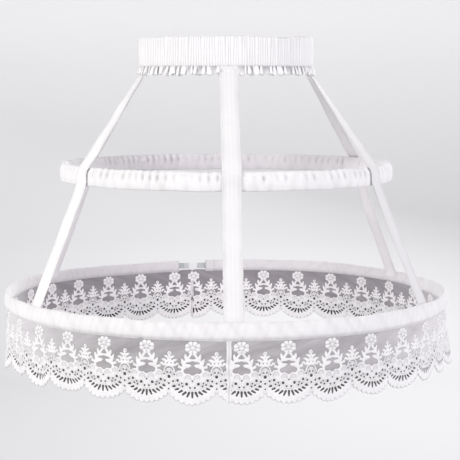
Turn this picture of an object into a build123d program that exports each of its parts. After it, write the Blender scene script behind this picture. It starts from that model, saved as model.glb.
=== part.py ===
"""Crinoline cage: a waistband, six tapes, two boned hoops in fabric casings and a lace flounce.

The origin is the centre of the waist opening at the top edge of the waistband.  +Z is up and
the wearer faces -Y.  Angles about the wearer are degrees from the front, growing towards +X.
"""
import os
from math import asin, atan2, cos, degrees, hypot, radians, sin

from build123d import *

# ---------------------------------------------------------------- driving dimensions (mm)
# waistband: a gathered fabric tube round a flat elastic, with a frill along its lower edge
waist_half_width = 117.0
waist_half_depth = 94.0
band_height = 40.0
cover_wall = 0.9
elastic_thickness = 1.6
frill_drop = 9.0
frill_flare = 5.0
frill_thickness = 1.6

# upper hoop: a puffed casing round a flat bone
upper_radius = 224.0
upper_height = -178.5
upper_casing_height = 24.0
upper_casing_depth = 9.0

# lower hoop: a flatter casing, left open for a short way near the back
lower_radius = 300.0
lower_height = -347.5
lower_casing_height = 22.5
lower_casing_depth = 6.6
casing_gap_length = 42.5
casing_gap_angle = 188.7

casing_wall = 0.8

# bones: flat strips whose ends overlap and are bound together
bone_width = 9.0
bone_thickness = 1.2
bone_overlap = 26.0
bone_end_round = 3.0
wrap_length = 13.0
wrap_wall = 0.5
upper_join_angle = 171.0

# tapes
tape_width = 24.0
tape_thickness = 0.9
tape_tuck = 14.0
side_front_waist_angle = 82.5
side_front_hoop_angle = 56.0
side_back_waist_angle = 97.5
side_back_hoop_angle = 121.6
back_waist_angle = 175.6
back_hoop_angle = 176.0

# lace flounce: two lengths of net lace, joined by a seam near the front and one at the gap
lace_drop = 75.0
lace_flare = 3.0
lace_thickness = 0.7
lace_repeat = 57.5
scallop_depth = 12.0
front_seam_angle = -1.1
first_right_scallop_angle = 1.9

# ---------------------------------------------------------------- clearances (mm)
cloth_gap = 0.3
seam_gap = 0.4

# ---------------------------------------------------------------- places that follow from these
cover_depth = 2 * cover_wall + elastic_thickness + 2 * cloth_gap
tape_offset = cloth_gap + tape_thickness / 2
# a flat tape on the hollow side of the waistband or a hoop touches with its edges first
waist_edge_rise = tape_width ** 2 / 8 / (waist_half_depth ** 2 / waist_half_width)
hoop_edge_rise = tape_width ** 2 / 8 / (lower_radius - lower_casing_depth)

upper_section = (upper_casing_depth / 2, upper_casing_height / 2)
lower_section = (lower_casing_depth / 2, lower_casing_height / 2)
upper_centre_radius = upper_radius - upper_casing_depth / 2
lower_centre_radius = lower_radius - lower_casing_depth / 2

casing_gap_sweep = degrees(casing_gap_length / lower_centre_radius)
lace_top = lower_height - lower_casing_height / 2 - cloth_gap
lace_bottom = lace_top - lace_drop
repeat_angle = degrees(lace_repeat / lower_centre_radius)


def about_wearer(radius, angle, height):
    """The point at this radius and height, so many degrees round from the front."""
    turn = radians(angle)
    return Vector(radius * sin(turn), -radius * cos(turn), height)


def radial_plane(angle):
    """The upright plane through the wearer's axis: x points outwards, y points up."""
    outwards = about_wearer(1, angle, 0)
    return Plane(origin=(0, 0, 0), x_dir=outwards, z_dir=outwards.cross(Vector(0, 0, 1)))


def waist_ring(inset, grow=0.0):
    """The oval of the waistband's outer face, moved inwards by inset or outwards by grow."""
    Ellipse(waist_half_width - inset + grow, waist_half_depth - inset + grow)


# ---------------------------------------------------------------- waistband
with BuildPart() as waistband_cover:
    with BuildSketch(Plane.XY.offset(-band_height - frill_drop)):
        waist_ring(0, frill_flare)
    with BuildSketch(Plane.XY.offset(-band_height)):
        waist_ring(0)
    loft()
    with BuildSketch(Plane.XY.offset(-band_height - frill_drop)):
        waist_ring(frill_thickness, frill_flare)
    with BuildSketch(Plane.XY.offset(-band_height)):
        waist_ring(frill_thickness)
    loft(mode=Mode.SUBTRACT)
    with BuildSketch(Plane.XY.offset(-band_height)):
        waist_ring(0)
        Ellipse(waist_half_width - cover_depth, waist_half_depth - cover_depth, mode=Mode.SUBTRACT)
    extrude(amount=band_height)
    with BuildSketch(Plane.XY.offset(-band_height + cover_wall)):
        waist_ring(cover_wall)
        Ellipse(waist_half_width - cover_depth + cover_wall,
                waist_half_depth - cover_depth + cover_wall, mode=Mode.SUBTRACT)
    extrude(amount=band_height - 2 * cover_wall, mode=Mode.SUBTRACT)

with BuildPart() as waist_elastic:
    with BuildSketch(Plane.XY.offset(-band_height + cover_wall + cloth_gap)):
        waist_ring(cover_wall + cloth_gap)
        Ellipse(waist_half_width - cover_wall - cloth_gap - elastic_thickness,
                waist_half_depth - cover_wall - cloth_gap - elastic_thickness,
                mode=Mode.SUBTRACT)
    extrude(amount=band_height - 2 * (cover_wall + cloth_gap))


# ---------------------------------------------------------------- hoop casings
def casing_section(centre_radius, height, section):
    """The cut across a casing: an upright oval of cloth, hollow for the bone."""
    with Locations((centre_radius, height)):
        Ellipse(section[0], section[1])
        Ellipse(section[0] - casing_wall, section[1] - casing_wall, mode=Mode.SUBTRACT)


with BuildPart() as upper_hoop_casing:
    with BuildSketch(radial_plane(upper_join_angle)):
        casing_section(upper_centre_radius, upper_height, upper_section)
    revolve(axis=Axis.Z)

with BuildPart() as lower_hoop_casing:
    with BuildSketch(radial_plane(casing_gap_angle + casing_gap_sweep / 2)):
        casing_section(lower_centre_radius, lower_height, lower_section)
    revolve(axis=Axis.Z, revolution_arc=360 - casing_gap_sweep)


# ---------------------------------------------------------------- bones and their wraps
def bone_seat(section, height_inside):
    """How far out from the casing's centre a strip of this height can lie inside it."""
    reach = (section[1] - casing_wall)
    return (section[0] - casing_wall) * (1 - (height_inside / 2 / reach) ** 2) ** 0.5


def bone_centre_radius(centre_radius, section, sleeve):
    """Middle of a strip, with a sleeve of this thickness, that lies near the outer wall."""
    seat = centre_radius + bone_seat(section, bone_width + 2 * sleeve)
    return seat - cloth_gap - sleeve - bone_thickness / 2


def strip_angles(radius):
    """Half of the overlap of the strip's ends, as an angle."""
    return degrees(bone_overlap / 2 / radius)


layer_step = bone_thickness + cloth_gap


def bone_path(radius, join_angle):
    """Two tangent arcs once round and a little over, the last end lying inside the first.

    The first arc turns about the wearer's axis for half a turn.  The second is smaller by half
    a layer and its centre is moved by as much, so that it comes back one layer further in.
    """
    half = strip_angles(radius)
    start = join_angle - half - 90
    CenterArc((0, 0), radius, start, 180)
    opposite = radians(start + 180)
    shift = layer_step / 2
    CenterArc((shift * cos(opposite), shift * sin(opposite)), radius - shift,
              start + 180, 180 + 2 * half)


def make_bone(radius, height, join_angle):
    """A flat strip carried along its path, with the corners of both ends rounded."""
    with BuildPart() as strip:
        with BuildLine(Plane.XY.offset(height)) as route:
            bone_path(radius, join_angle)
        with BuildSketch(Plane(route.line @ 0, x_dir=(0, 0, 1), z_dir=route.line % 0)):
            Rectangle(bone_width, bone_thickness)
        sweep()
        tips = strip.faces().sort_by(SortBy.AREA)[0:2]
        corners = [edge for tip in tips for edge in tip.edges() if edge.length < 2 * bone_thickness]
        fillet(corners, min(bone_end_round, 0.45 * bone_width))
    return strip


def make_wrap(radius, height, join_angle):
    """A flat sleeve round both ends of a bone."""
    middle = radius - layer_step / 2
    depth = layer_step + bone_thickness
    centre = about_wearer(middle, join_angle, height)
    along = about_wearer(1, join_angle + 90, 0)
    with BuildPart() as sleeve:
        with BuildSketch(Plane(origin=centre - along * (wrap_length / 2),
                               x_dir=(0, 0, 1), z_dir=along)):
            Rectangle(bone_width + 2 * cloth_gap + 2 * wrap_wall,
                      depth + 2 * cloth_gap + 2 * wrap_wall)
            Rectangle(bone_width + 2 * cloth_gap, depth + 2 * cloth_gap, mode=Mode.SUBTRACT)
        extrude(amount=wrap_length)
    return sleeve


upper_bone_radius = bone_centre_radius(upper_centre_radius, upper_section, cloth_gap + wrap_wall)
lower_bone_radius = bone_centre_radius(lower_centre_radius, lower_section, 0)
upper_hoop_bone = make_bone(upper_bone_radius, upper_height, upper_join_angle)
upper_hoop_bone_wrap = make_wrap(upper_bone_radius, upper_height, upper_join_angle)
lower_hoop_bone = make_bone(lower_bone_radius, lower_height, casing_gap_angle)
lower_hoop_bone_wrap = make_wrap(lower_bone_radius, lower_height, casing_gap_angle)


# ---------------------------------------------------------------- tapes
def waist_point(angle, height):
    """A point on the inner side of the waistband, where a tape is sewn."""
    inset = cover_depth + tape_offset + waist_edge_rise
    half_width = waist_half_width - inset
    half_depth = waist_half_depth - inset
    turn = atan2(half_depth * sin(radians(angle)), half_width * cos(radians(angle)))
    return Vector(half_width * sin(turn), -half_depth * cos(turn), height)


def waist_along(angle):
    """The direction of the waistband at this angle, level and towards growing angles."""
    step = waist_point(angle + 0.5, 0) - waist_point(angle - 0.5, 0)
    return step.normalized()


def casing_touch(centre_radius, height, section, lift):
    """Radius and height of a tape lying on a casing, where its outer side faces up by lift."""
    out, up = cos(radians(lift)), sin(radians(lift))
    reach = hypot(section[0] * out, section[1] * up)
    return (centre_radius + section[0] ** 2 * out / reach + tape_offset * out,
            height + section[1] ** 2 * up / reach + tape_offset * up)


def tape_stations(waist_angle, hoop_angle):
    """Centre points of a tape from the waistband down, each with its level width direction."""
    waist_side = waist_along(waist_angle)
    hoop_side = about_wearer(1, hoop_angle + 90, 0)
    start = waist_point(waist_angle, -band_height - 0.5 * frill_drop)
    run = upper_centre_radius - start.dot(about_wearer(1, hoop_angle, 0))
    drop = start.Z - upper_height - upper_casing_height / 2
    shoulder_lift = degrees(atan2(run, drop))
    shoulder = casing_touch(upper_centre_radius, upper_height, upper_section, shoulder_lift)
    hip = casing_touch(upper_centre_radius, upper_height, upper_section, 0.4 * shoulder_lift)
    outside = upper_radius + tape_offset
    inside = lower_radius - lower_casing_depth - tape_offset - hoop_edge_rise
    return [
        (waist_point(waist_angle, -band_height + tape_tuck), waist_side),
        (start, waist_side),
        (about_wearer(shoulder[0], hoop_angle, shoulder[1]), hoop_side),
        (about_wearer(hip[0], hoop_angle, hip[1]), hoop_side),
        (about_wearer(outside, hoop_angle, upper_height + 0.1 * upper_casing_height), hoop_side),
        (about_wearer(outside, hoop_angle, upper_height - 0.3 * upper_casing_height), hoop_side),
        (about_wearer(inside, hoop_angle, lower_height + 0.3 * lower_casing_height), hoop_side),
        (about_wearer(inside, hoop_angle, lower_height - 0.35 * lower_casing_height), hoop_side),
    ]


def make_tape(waist_angle, hoop_angle):
    """A flat strip through its stations, mitred at each one."""
    stations = tape_stations(waist_angle, hoop_angle)
    with BuildPart() as tape:
        for index, (point, side) in enumerate(stations):
            before = stations[max(index - 1, 0)][0]
            after = stations[min(index + 1, len(stations) - 1)][0]
            down = Vector(0, 0, 0)
            if (point - before).length > 0:
                down += (point - before).normalized()
            if (after - point).length > 0:
                down += (after - point).normalized()
            square = down - side * down.dot(side)
            with BuildSketch(Plane(origin=point, x_dir=side, z_dir=square)):
                Rectangle(tape_width, tape_thickness)
        loft(ruled=True)
    return tape


tape_front = make_tape(0, 0)
tape_front_right = make_tape(side_front_waist_angle, side_front_hoop_angle)
tape_front_left = make_tape(-side_front_waist_angle, -side_front_hoop_angle)
tape_back_right = make_tape(side_back_waist_angle, side_back_hoop_angle)
tape_back_left = make_tape(-side_back_waist_angle, -side_back_hoop_angle)
tape_back = make_tape(back_waist_angle, back_hoop_angle)


# ---------------------------------------------------------------- lace flounce
def scallop_arc(half):
    """Start, middle and end of the left half of a round scallop's edge, from hem to cusp."""
    radius = (half ** 2 + scallop_depth ** 2) / (2 * scallop_depth)
    turn = asin(half / radius) / 2
    return [(-half, lace_bottom),
            (radius * sin(turn) - half, lace_bottom + radius - radius * cos(turn)),
            (0, lace_bottom + scallop_depth)]


def make_lace(first_edge, last_edge, first_cusp):
    """A length of lace between two seams: a thin leaning wall, notched between its scallops."""
    lean = lace_thickness / 2
    hem_radius = lower_centre_radius + lace_flare
    half = lace_repeat / 2 * hem_radius / lower_centre_radius
    left_side = scallop_arc(half)
    right_side = [(-across, height) for across, height in left_side]
    notch_depth = 2 * (lace_flare + lace_thickness) + hem_radius * (1 - cos(half / hem_radius))
    cusp_count = int((last_edge - first_cusp) / repeat_angle + 1.5)
    with BuildPart() as lace:
        with BuildSketch(radial_plane(first_edge)):
            Polygon(
                (lower_centre_radius - lean, lace_top),
                (lower_centre_radius + lean, lace_top),
                (hem_radius + lean, lace_bottom),
                (hem_radius - lean, lace_bottom),
                align=None,
            )
        revolve(axis=Axis.Z, revolution_arc=last_edge - first_edge)
        for index in range(cusp_count):
            outwards = about_wearer(1, first_cusp + index * repeat_angle, 0)
            face_on = Plane(origin=outwards * (hem_radius + lace_thickness),
                            x_dir=Vector(0, 0, 1).cross(outwards), z_dir=outwards)
            with BuildSketch(face_on):
                with BuildLine():
                    ThreePointArc(*left_side)
                    ThreePointArc(*reversed(right_side))
                    Polyline(right_side[0], (half, lace_bottom - scallop_depth),
                             (-half, lace_bottom - scallop_depth), left_side[0])
                make_face()
            extrude(amount=-notch_depth, mode=Mode.SUBTRACT)
    return lace


seam_half = degrees(seam_gap / 2 / lower_centre_radius)
back_seam_angle = casing_gap_angle
lace_right_half = make_lace(front_seam_angle + seam_half, back_seam_angle - seam_half,
                            first_right_scallop_angle + 0.5 * repeat_angle)
left_cusp_count = int((first_right_scallop_angle - 0.5 * repeat_angle
                       - (back_seam_angle - 360)) / repeat_angle)
lace_left_half = make_lace(back_seam_angle - 360 + seam_half, front_seam_angle - seam_half,
                           first_right_scallop_angle - (0.5 + left_cusp_count) * repeat_angle)

# ---------------------------------------------------------------- write every piece
pieces = {
    "waistband_cover": waistband_cover,
    "waist_elastic": waist_elastic,
    "upper_hoop_casing": upper_hoop_casing,
    "upper_hoop_bone": upper_hoop_bone,
    "upper_hoop_bone_wrap": upper_hoop_bone_wrap,
    "lower_hoop_casing": lower_hoop_casing,
    "lower_hoop_bone": lower_hoop_bone,
    "lower_hoop_bone_wrap": lower_hoop_bone_wrap,
    "tape_front": tape_front,
    "tape_front_left": tape_front_left,
    "tape_front_right": tape_front_right,
    "tape_back_left": tape_back_left,
    "tape_back_right": tape_back_right,
    "tape_back": tape_back,
    "lace_left_half": lace_left_half,
    "lace_right_half": lace_right_half,
}

os.makedirs("parts", exist_ok=True)
for piece_name, piece in pieces.items():
    piece.part.label = piece_name
    export_step(piece.part, f"parts/{piece_name}.step")
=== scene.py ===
"""Crinoline cage: the finished cloth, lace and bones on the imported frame.

Lengths are in metres.  The wearer faces -Y and +Z is up.  Angles about the wearer are in
degrees from the front, growing towards +X, as they are in the frame's own source.
"""
from math import asin, atan2, cos, degrees, hypot, pi, radians, sin

import bpy
import numpy as np
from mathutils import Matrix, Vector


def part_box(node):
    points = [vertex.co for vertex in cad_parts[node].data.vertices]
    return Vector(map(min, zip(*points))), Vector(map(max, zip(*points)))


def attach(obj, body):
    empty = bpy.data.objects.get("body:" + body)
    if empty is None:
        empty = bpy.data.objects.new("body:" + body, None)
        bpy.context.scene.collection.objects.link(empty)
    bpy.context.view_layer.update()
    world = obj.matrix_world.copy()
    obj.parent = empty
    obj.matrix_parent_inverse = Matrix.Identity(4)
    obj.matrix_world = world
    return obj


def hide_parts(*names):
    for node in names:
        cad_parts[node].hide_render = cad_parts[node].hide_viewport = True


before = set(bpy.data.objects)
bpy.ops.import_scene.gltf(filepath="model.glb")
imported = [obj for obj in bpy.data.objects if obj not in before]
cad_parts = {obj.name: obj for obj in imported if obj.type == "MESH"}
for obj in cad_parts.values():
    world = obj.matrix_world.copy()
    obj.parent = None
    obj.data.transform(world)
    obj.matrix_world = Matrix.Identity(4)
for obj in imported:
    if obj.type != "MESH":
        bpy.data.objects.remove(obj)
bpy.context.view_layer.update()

MM = 0.001


# ------------------------------------------------------------------ sizes read from the frame
def span(node):
    """Lowest and highest corner of a frame node, as numpy arrays."""
    low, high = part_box(node)
    return np.array(low), np.array(high)


band_low, band_high = span("waistband_cover")
elastic_low, elastic_high = span("waist_elastic")
upper_low, upper_high = span("upper_hoop_casing")
lower_low, lower_high = span("lower_hoop_casing")
lace_low, lace_high = span("lace_right_half")
tape_low, tape_high = span("tape_front")

COVER_WALL = 1.2 * MM
WAIST_X = elastic_high[0] + COVER_WALL
WAIST_Y = elastic_high[1] + COVER_WALL
BAND_TOP = band_high[2]
BAND_BOTTOM = elastic_low[2] - COVER_WALL
FRILL_BOTTOM = band_low[2]
BAND_DEPTH = 4.0 * MM

UPPER_RADIUS = upper_high[0]
UPPER_HEIGHT = (upper_low[2] + upper_high[2]) / 2
UPPER_TALL = upper_high[2] - upper_low[2]
UPPER_DEEP = 9.0 * MM

LOWER_RADIUS = lower_high[0]
LOWER_HEIGHT = (lower_low[2] + lower_high[2]) / 2
LOWER_TALL = lower_high[2] - lower_low[2]
LOWER_DEEP = 6.6 * MM
LOWER_MIDDLE = LOWER_RADIUS - LOWER_DEEP / 2

GAP_ANGLE = 188.7
GAP_SWEEP = degrees(42.5 * MM / LOWER_MIDDLE)

TAPE_WIDTH = tape_high[0] - tape_low[0]
TAPE_THICK = 0.9 * MM
CLOTH_GAP = 0.3 * MM

LACE_TOP = lace_high[2]
LACE_BOTTOM = lace_low[2]
LACE_FLARE = 3.0 * MM
LACE_REPEAT = 57.5 * MM
SCALLOP_DEPTH = 12.0 * MM
FRONT_SEAM = -1.1
BACK_SEAM = GAP_ANGLE


# ------------------------------------------------------------------ mesh from whole arrays
def new_piece(name, points, faces, uv=None, painted_tone=None):
    """A mesh object at the origin from points (n, 3) and faces, arrays of equal-sided rows.

    faces is a list of integer arrays, each (count, sides).  uv is a list of matching arrays
    (count, sides, 2) in metres, and the last argument a value for each point, the painted
    shade that materials may read.
    """
    mesh = bpy.data.meshes.new(name)
    mesh.vertices.add(len(points))
    mesh.vertices.foreach_set("co", np.asarray(points, np.float32).ravel())
    loops = np.concatenate([block.ravel() for block in faces])
    sides = np.concatenate([np.full(len(block), block.shape[1]) for block in faces])
    mesh.loops.add(len(loops))
    mesh.loops.foreach_set("vertex_index", loops.astype(np.int32))
    mesh.polygons.add(len(sides))
    starts = np.concatenate([[0], np.cumsum(sides)[:-1]])
    mesh.polygons.foreach_set("loop_start", starts.astype(np.int32))
    if uv is not None:
        layer = mesh.uv_layers.new(name="cloth")
        flat = np.concatenate([block.reshape(-1, 2) for block in uv])
        layer.data.foreach_set("uv", flat.astype(np.float32).ravel())
    if painted_tone is not None:
        layer = mesh.attributes.new("fold", "FLOAT", "POINT")
        layer.data.foreach_set("value", np.asarray(painted_tone, np.float32).ravel())
    mesh.update(calc_edges=True)
    mesh.validate()
    mesh.polygons.foreach_set("use_smooth", np.full(len(mesh.polygons), True))
    piece = bpy.data.objects.new(name, mesh)
    bpy.context.collection.objects.link(piece)
    return piece


def grid_faces(rows, columns, close_rows, close_columns):
    """Four-sided faces of a grid of points, with the row and column of each corner.

    Corner order is (r, c), (r, c+1), (r+1, c+1), (r+1, c); a closed direction wraps round.
    """
    r = np.arange(rows if close_rows else rows - 1)
    c = np.arange(columns if close_columns else columns - 1)
    r, c = np.meshgrid(r, c, indexing="ij")
    corner_r = np.stack([r, r, r + 1, r + 1], -1).reshape(-1, 4)
    corner_c = np.stack([c, c + 1, c + 1, c], -1).reshape(-1, 4)
    index = (corner_r % rows) * columns + corner_c % columns
    return index, corner_r, corner_c


def surface(name, points, along, across, close_rows=False, close_columns=False,
            flip=False, painted_tone=None, cap=False):
    """A surface through points (rows, columns, 3), with UV from along and across in metres.

    along holds a distance for each row, and across one for each column, with one more where
    that direction is closed.  cap fills the first and last row, whose columns are closed.
    """
    rows, columns = points.shape[:2]
    index, corner_r, corner_c = grid_faces(rows, columns, close_rows, close_columns)
    uv = np.stack([np.asarray(along)[corner_r], np.asarray(across)[corner_c]], -1)
    if flip:
        index, uv = index[:, ::-1], uv[:, ::-1]
    faces, maps = [index], [uv]
    if cap:
        first = np.arange(columns)[None]
        last = first + (rows - 1) * columns
        first, last = (first, last[:, ::-1]) if not flip else (first[:, ::-1], last)
        for ring in (first[:, ::-1], last[:, ::-1]):
            faces.append(ring)
            maps.append(np.stack([np.asarray(along)[ring // columns],
                                  np.asarray(across)[ring % columns]], -1))
    return new_piece(name, points.reshape(-1, 3), faces, maps, painted_tone)


def round_hoop(radius, angle, height):
    """Points at these radii, angles from the front and heights."""
    turn = np.radians(angle)
    radius, turn, height = np.broadcast_arrays(radius, turn, height)
    return np.stack([radius * np.sin(turn), -radius * np.cos(turn), height], -1)


def unit(vectors):
    """The same directions, one metre long."""
    return vectors / np.linalg.norm(vectors, axis=-1, keepdims=True)


def ripple(position, shortest, longest, seed, terms=7):
    """A smooth uneven wave of about unit height: sines of random lengths added up."""
    chance = np.random.default_rng(seed)
    total = np.zeros(np.shape(position))
    for _ in range(terms):
        length = chance.uniform(shortest, longest)
        total += chance.uniform(0.5, 1.0) * np.sin(2 * pi * position / length
                                                  + chance.uniform(0, 2 * pi))
    return total / (0.6 * terms ** 0.5)


def whole_ripple(turns, fewest, most, seed, terms=7):
    """The same round a closed ring: turns runs from 0 to 1, and each sine closes on itself."""
    chance = np.random.default_rng(seed)
    total = np.zeros(np.shape(turns))
    for _ in range(terms):
        count = chance.integers(fewest, most + 1)
        total += chance.uniform(0.5, 1.0) * np.sin(2 * pi * count * turns
                                                  + chance.uniform(0, 2 * pi))
    return total / (0.6 * terms ** 0.5)


# ------------------------------------------------------------------ materials
class Value:
    """A socket in a finish's node tree.  Arithmetic on it adds Math nodes."""

    def __init__(self, finish, socket):
        self.finish = finish
        self.socket = socket

    def math(self, operation, *inputs):
        """A Math node of this kind, with its inputs in order."""
        inputs = dict(enumerate(inputs))
        return self.finish.node("ShaderNodeMath", {"operation": operation}, inputs)

    def __add__(self, other):
        return self.math("ADD", self, other)

    def __radd__(self, other):
        return self.math("ADD", other, self)

    def __sub__(self, other):
        return self.math("SUBTRACT", self, other)

    def __rsub__(self, other):
        return self.math("SUBTRACT", other, self)

    def __mul__(self, other):
        return self.math("MULTIPLY", self, other)

    def __rmul__(self, other):
        return self.math("MULTIPLY", other, self)

    def wave(self):
        """Its sine."""
        return self.math("SINE", self)

    def size(self):
        """How far it is from 0."""
        return self.math("ABSOLUTE", self)

    def clipped(self):
        """The same, kept from 0 to 1."""
        return self.finish.node("ShaderNodeClamp", {}, {"Value": self})

    def partner(self, name):
        """Another output of the node that this one comes from."""
        return Value(self.finish, self.socket.node.outputs[name])


class Finish:
    """A material while its nodes are made."""

    def __init__(self, name):
        self.material = bpy.data.materials.new(name)
        self.material.use_nodes = True
        self.tree = self.material.node_tree
        self.tree.nodes.clear()
        surface_shader = self.node("ShaderNodeBsdfPrincipled", {}, {})
        self.shader = surface_shader.socket.node
        self.node("ShaderNodeOutputMaterial", {}, {0: surface_shader})

    def node(self, kind, settings, inputs, output=0):
        """Adds one node: its settings first, then the values or links of its inputs."""
        made = self.tree.nodes.new(kind)
        for key, value in settings.items():
            setattr(made, key, value)
        for key, value in inputs.items():
            self.connect(made.inputs[key], value)
        if made.outputs:
            return Value(self, made.outputs[output])

    def connect(self, socket, value):
        """Links a value to an input, or sets it there."""
        if isinstance(value, Value):
            self.tree.links.new(value.socket, socket)
        else:
            socket.default_value = value

    def set(self, name, value):
        """One of the shader's own inputs."""
        self.connect(self.shader.inputs[name], value)

    def mix(self, share, first, second):
        """One colour into another by share."""
        first = first if isinstance(first, Value) else (*first, 1.0)
        second = second if isinstance(second, Value) else (*second, 1.0)
        inputs = {0: share, 6: first, 7: second}
        return self.node("ShaderNodeMix", {"data_type": "RGBA"}, inputs, 2)

    def place(self):
        """The three coordinates of the point, in metres."""
        where = self.node("ShaderNodeTexCoord", {}, {}, "Object")
        x = self.node("ShaderNodeSeparateXYZ", {}, {0: where})
        return x, x.partner("Y"), x.partner("Z")

    def cloth(self):
        """The cloth's own two distances, in metres, from its UV map."""
        where = self.node("ShaderNodeUVMap", {"uv_map": "cloth"}, {})
        along = self.node("ShaderNodeSeparateXYZ", {}, {0: where})
        return along, along.partner("Y")

    def fold(self):
        """The painted shade, from 0 to 1, that a piece carries deep in a fold, groove or hollow.
        """
        return self.node("ShaderNodeAttribute", {"attribute_name": "fold"}, {}, "Fac")

    def noise(self, scale, detail=3.0, where=None):
        """Noise of this many cells a metre, on the object's own coordinates."""
        if where is None:
            where = self.node("ShaderNodeTexCoord", {}, {}, "Object")
        inputs = {"Vector": where, "Scale": scale, "Detail": detail, "Roughness": 0.55}
        return self.node("ShaderNodeTexNoise", {}, inputs)

    def bump(self, height, distance):
        """Bends the surface by a height in shares of distance."""
        inputs = {"Distance": distance, "Height": height}
        self.set("Normal", self.node("ShaderNodeBump", {}, inputs))

    def painted_light_by_side(self, left, right, back_left, back_right):
        """Painted light: a colour that shifts from -X to +X as light falls, and to shade at the
        back.
        """
        x, y, _ = self.place()
        across = (x * (1 / (2 * LOWER_RADIUS)) + 0.5).clipped()
        towards_back = (y * (1.6 / LOWER_RADIUS)).clipped()
        front = self.mix(across, left, right)
        back = self.mix(across, back_left, back_right)
        return self.mix(towards_back, front, back)


# painted light and shade: white cloth lit on the left, shaded on the right, darker at the back
# where it lies in shade, and the colour of painted shade in folds
LIT_LEFT_WHITE = (0.94, 0.93, 0.925)
SHADED_RIGHT_WHITE = (0.92, 0.905, 0.925)
SHADED_BACK_WHITE = (0.66, 0.625, 0.655)
SHADED_BACK_RIGHT_WHITE = (0.86, 0.83, 0.85)
FOLD_SHADE = (0.46, 0.44, 0.46)
THREAD_PITCH = 0.7 * MM


def cloth_finish(name, weave="plain", puff=0.6 * MM, painted_light_tones=None):
    """Woven white cloth: thread ridges, a soft uneven nap, painted light by side and painted shade
    in its folds.
    """
    finish = Finish(name)
    along, across = finish.cloth()
    if weave == "plain":
        turn = 2 * pi / THREAD_PITCH
        threads = (along * turn).wave() * (across * turn).wave()
    else:
        threads = ((along + across) * (2 * pi / (1.6 * THREAD_PITCH))).wave()
    nap = finish.noise(260.0, 4.0)
    creases = finish.noise(42.0, 5.0)
    base = finish.painted_light_by_side(*(painted_light_tones or (LIT_LEFT_WHITE, SHADED_RIGHT_WHITE, SHADED_BACK_WHITE, SHADED_BACK_RIGHT_WHITE)))
    # painted shade: a little darker where the noise creases lie, and darker in each piece's folds
    # and grooves
    base = finish.mix((creases * 1.6 - 0.45).clipped() * 0.14, base, FOLD_SHADE)
    base = finish.mix(finish.fold(), base, FOLD_SHADE)
    finish.set("Base Color", base)
    finish.set("Roughness", (0.72 + nap * 0.2).clipped())
    finish.set("Sheen Weight", 0.18)
    finish.set("Sheen Roughness", 0.5)
    finish.bump(threads * 0.12 + nap * 0.35 + creases * 0.9, puff)
    return finish.material


def net_finish():
    """Sheer net: fine crossing threads with faint slanting streaks, and painted shade at the back.

    It reads its painted shade as 1 behind the border, where it is painted nearly black and made
    denser, so that the openings show only painted shadow through it.
    """
    finish = Finish("sheer net")
    along, across = finish.cloth()
    turn = pi / (1.5 * MM)
    first = ((along + across) * turn).wave().size()
    second = ((along - across) * turn).wave().size()
    open_cell = (first * second).clipped()
    cloudy = finish.noise(16.0, 3.0)
    slant = {0: (along * 0.35 + across) * 12.0, 1: (along - across * 0.35) * 75.0}
    streaks = finish.noise(1.0, 4.0, finish.node("ShaderNodeCombineXYZ", {}, slant))
    light = ((streaks * 2.6 - 1.0).clipped() * 0.8 + (cloudy * 0.5 - 0.2).clipped()).clipped()
    # painted light: the net and its lighter streaks are darker on the left than the right, and
    # much darker at the back, where it lies in shade
    painted_tone = finish.painted_light_by_side((0.225, 0.21, 0.215), (0.27, 0.245, 0.265),
                            (0.10, 0.075, 0.10), (0.115, 0.092, 0.115))
    bright = finish.painted_light_by_side((0.46, 0.44, 0.45), (0.50, 0.47, 0.50),
                              (0.24, 0.205, 0.24), (0.28, 0.25, 0.28))
    painted_tone = finish.mix(light, painted_tone, bright)
    x, y, _ = finish.place()
    # painted light: paler towards the sides of the front, where the net is seen edge-on
    painted_side_paleness = (x * x * (1.5 / LOWER_RADIUS ** 2) - 0.38).clipped()
    painted_tone = finish.mix(painted_side_paleness * (0.5 - y * 4).clipped(), painted_tone, (0.80, 0.78, 0.80))
    behind_border = finish.fold()
    # painted shadow: a near-black colour for the net behind the border, darker still at the back
    hollow = finish.painted_light_by_side((0.085, 0.08, 0.082), (0.085, 0.08, 0.082), (0.01, 0.008, 0.009),
                              (0.01, 0.008, 0.009))
    finish.set("Base Color", finish.mix(behind_border, painted_tone, hollow))
    finish.set("Roughness", (0.6 + cloudy * 0.2).clipped())
    finish.set("Alpha", (0.85 - open_cell * 0.16 + behind_border * 0.3 + cloudy * 0.08).clipped())
    finish.bump(first * second, 0.2 * MM)
    return finish.material


def floss_finish():
    """Lustrous white embroidery floss: close stitches that catch the light, with painted light by
    side and painted shade in its grooves.
    """
    finish = Finish("embroidery floss")
    along, across = finish.cloth()
    stitches_seen = ((along * 0.6 + across) * (2 * pi / (0.9 * MM))).wave()
    knots = finish.noise(900.0, 2.0)
    cloudy = finish.noise(30.0, 2.0)
    base = finish.painted_light_by_side((0.95, 0.94, 0.94), (0.97, 0.955, 0.97),
                            (0.94, 0.91, 0.93), (0.96, 0.94, 0.955))
    # painted shade: near black in the grooves, round the openings and along the hem's edge
    base = finish.mix(finish.fold(), base, (0.13, 0.12, 0.13))
    base = finish.mix((cloudy - 0.35).clipped() * 0.25, base, (0.72, 0.69, 0.74))
    finish.set("Base Color", base)
    finish.set("Roughness", (0.48 + knots * 0.25).clipped())
    finish.set("Sheen Weight", 0.15)
    finish.bump(stitches_seen * 0.5 + knots, 0.25 * MM)
    return finish.material


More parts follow.
